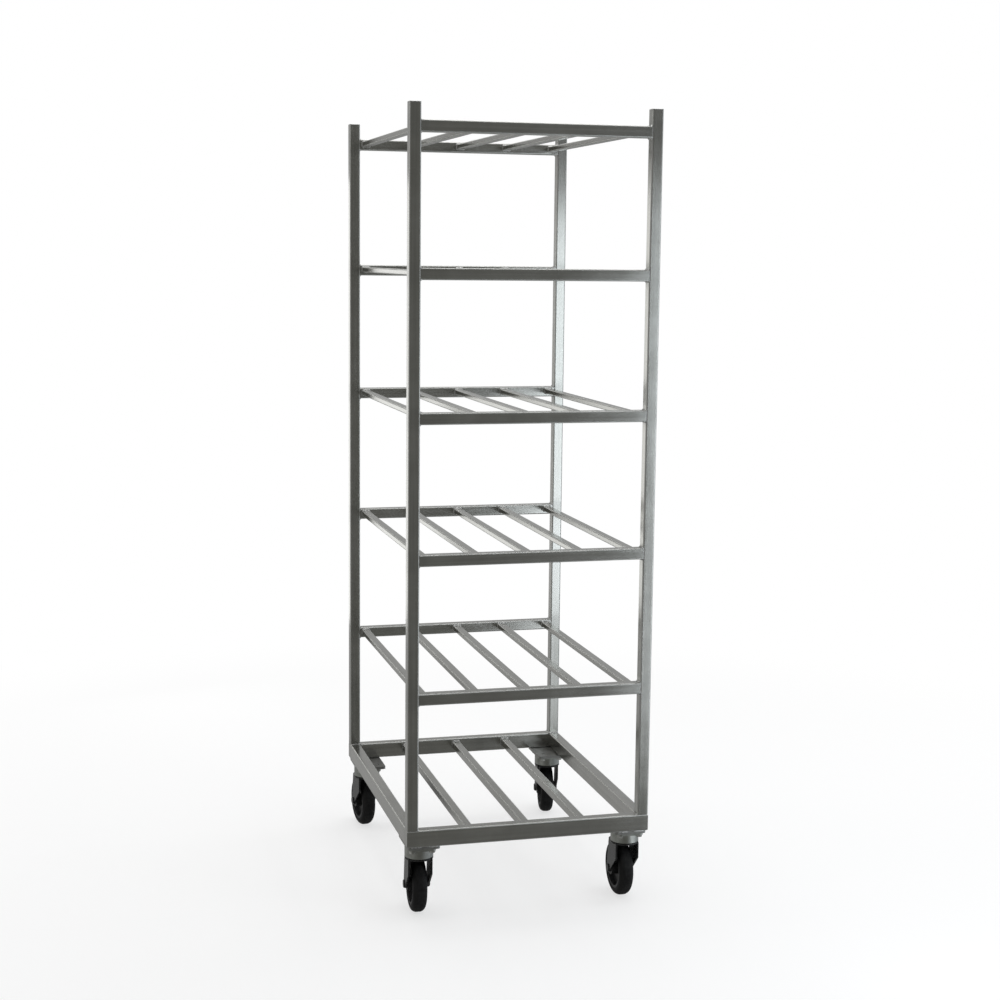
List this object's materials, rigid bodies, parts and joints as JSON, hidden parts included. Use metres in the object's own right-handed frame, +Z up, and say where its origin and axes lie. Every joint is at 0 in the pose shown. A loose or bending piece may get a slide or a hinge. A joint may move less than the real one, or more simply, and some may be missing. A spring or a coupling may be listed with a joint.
{
  "type": "mobile shelf cart",
  "caption": "Open rolling cart: square aluminium tube posts carry slatted shelves over a heavier slatted base on swivel casters, for trays and boxes.",
  "frame": {"origin": "on the floor under the middle of the frame", "axes": "+X to the cart's right, +Y from front to back, +Z up"},
  "size_m": [0.5554, 0.7796, 1.7722],
  "materials": {
    "aluminium_tube": "satin mill",
    "aluminium_plate": "satin mill",
    "zinc_plated_steel": "dull zinc plate",
    "black_painted_steel": "gloss black",
    "bright_fastener": "bright zinc plate",
    "bearing_steel": "ground",
    "black_tyre": "matte",
    "wheel_core_plastic": "moulded",
    "bush_plastic": "moulded"
  },
  "bodies": {
    "frame": {"front_left_post": "aluminium_tube", "front_right_post": "aluminium_tube", "rear_left_post": "aluminium_tube", "rear_right_post": "aluminium_tube", "post_caps": "aluminium_tube", "shelf_1_front_rail": "aluminium_tube", "shelf_1_rear_rail": "aluminium_tube", "shelf_1_slats": "aluminium_tube", "shelf_2_front_rail": "aluminium_tube", "shelf_2_rear_rail": "aluminium_tube", "shelf_2_slats": "aluminium_tube", "shelf_3_front_rail": "aluminium_tube", "shelf_3_rear_rail": "aluminium_tube", "shelf_3_slats": "aluminium_tube", "shelf_4_front_rail": "aluminium_tube", "shelf_4_rear_rail": "aluminium_tube", "shelf_4_slats": "aluminium_tube", "shelf_5_front_rail": "aluminium_tube", "shelf_5_rear_rail": "aluminium_tube", "shelf_5_slats": "aluminium_tube", "base_front_rail": "aluminium_tube", "base_rear_rail": "aluminium_tube", "base_left_rail": "aluminium_tube", "base_right_rail": "aluminium_tube", "base_slats": "aluminium_tube", "front_left_mount_plate": "aluminium_plate", "front_right_mount_plate": "aluminium_plate", "rear_left_mount_plate": "aluminium_plate", "rear_right_mount_plate": "aluminium_plate", "front_left_caster_plate": "zinc_plated_steel", "front_right_caster_plate": "zinc_plated_steel", "rear_left_caster_plate": "zinc_plated_steel", "rear_right_caster_plate": "zinc_plated_steel", "kingpins": "bearing_steel", "swivel_balls": "bearing_steel", "caster_fasteners": "bright_fastener"},
    "front_left_swivel": {"front_left_fork": "black_painted_steel", "front_left_axle": "black_painted_steel", "front_left_axle_sleeve": "bearing_steel"},
    "front_left_wheel": {"front_left_tyre": "black_tyre", "front_left_wheel_core": "wheel_core_plastic", "front_left_wheel_bush": "bush_plastic"},
    "front_right_swivel": {"front_right_fork": "black_painted_steel", "front_right_axle": "black_painted_steel", "front_right_axle_sleeve": "bearing_steel"},
    "front_right_wheel": {"front_right_tyre": "black_tyre", "front_right_wheel_core": "wheel_core_plastic", "front_right_wheel_bush": "bush_plastic"},
    "rear_left_swivel": {"rear_left_fork": "black_painted_steel", "rear_left_axle": "black_painted_steel", "rear_left_axle_sleeve": "bearing_steel"},
    "rear_left_wheel": {"rear_left_tyre": "black_tyre", "rear_left_wheel_core": "wheel_core_plastic", "rear_left_wheel_bush": "bush_plastic"},
    "rear_right_swivel": {"rear_right_fork": "black_painted_steel", "rear_right_axle": "black_painted_steel", "rear_right_axle_sleeve": "bearing_steel"},
    "rear_right_wheel": {"rear_right_tyre": "black_tyre", "rear_right_wheel_core": "wheel_core_plastic", "rear_right_wheel_bush": "bush_plastic"}
  },
  "joints": [
    {"name": "front_left_swivel_turn", "type": "hinge", "parent": "frame", "child": "front_left_swivel", "pos_m": [-0.24, -0.3165, 0.138], "axis": [0, 0, 1], "continuous": true},
    {"name": "front_left_wheel_spin", "type": "hinge", "parent": "front_left_swivel", "child": "front_left_wheel", "pos_m": [-0.23844, -0.28454, 0.0635], "axis": [0.9988, -0.0488, 0], "continuous": true},
    {"name": "front_right_swivel_turn", "type": "hinge", "parent": "frame", "child": "front_right_swivel", "pos_m": [0.24, -0.3165, 0.138], "axis": [0, 0, 1], "continuous": true},
    {"name": "front_right_wheel_spin", "type": "hinge", "parent": "front_right_swivel", "child": "front_right_wheel", "pos_m": [0.24011, -0.2845, 0.0635], "axis": [1, -0.0035, 0], "continuous": true},
    {"name": "rear_left_swivel_turn", "type": "hinge", "parent": "frame", "child": "rear_left_swivel", "pos_m": [-0.24, 0.3165, 0.138], "axis": [0, 0, 1], "continuous": true},
    {"name": "rear_left_wheel_spin", "type": "hinge", "parent": "rear_left_swivel", "child": "rear_left_wheel", "pos_m": [-0.24346, 0.34831, 0.0635], "axis": [0.9942, 0.108, 0], "continuous": true},
    {"name": "rear_right_swivel_turn", "type": "hinge", "parent": "frame", "child": "rear_right_swivel", "pos_m": [0.24, 0.3165, 0.138], "axis": [0, 0, 1], "continuous": true},
    {"name": "rear_right_wheel_spin", "type": "hinge", "parent": "rear_right_swivel", "child": "rear_right_wheel", "pos_m": [0.24556, 0.34801, 0.0635], "axis": [0.9848, -0.1736, 0], "continuous": true}
  ]
}
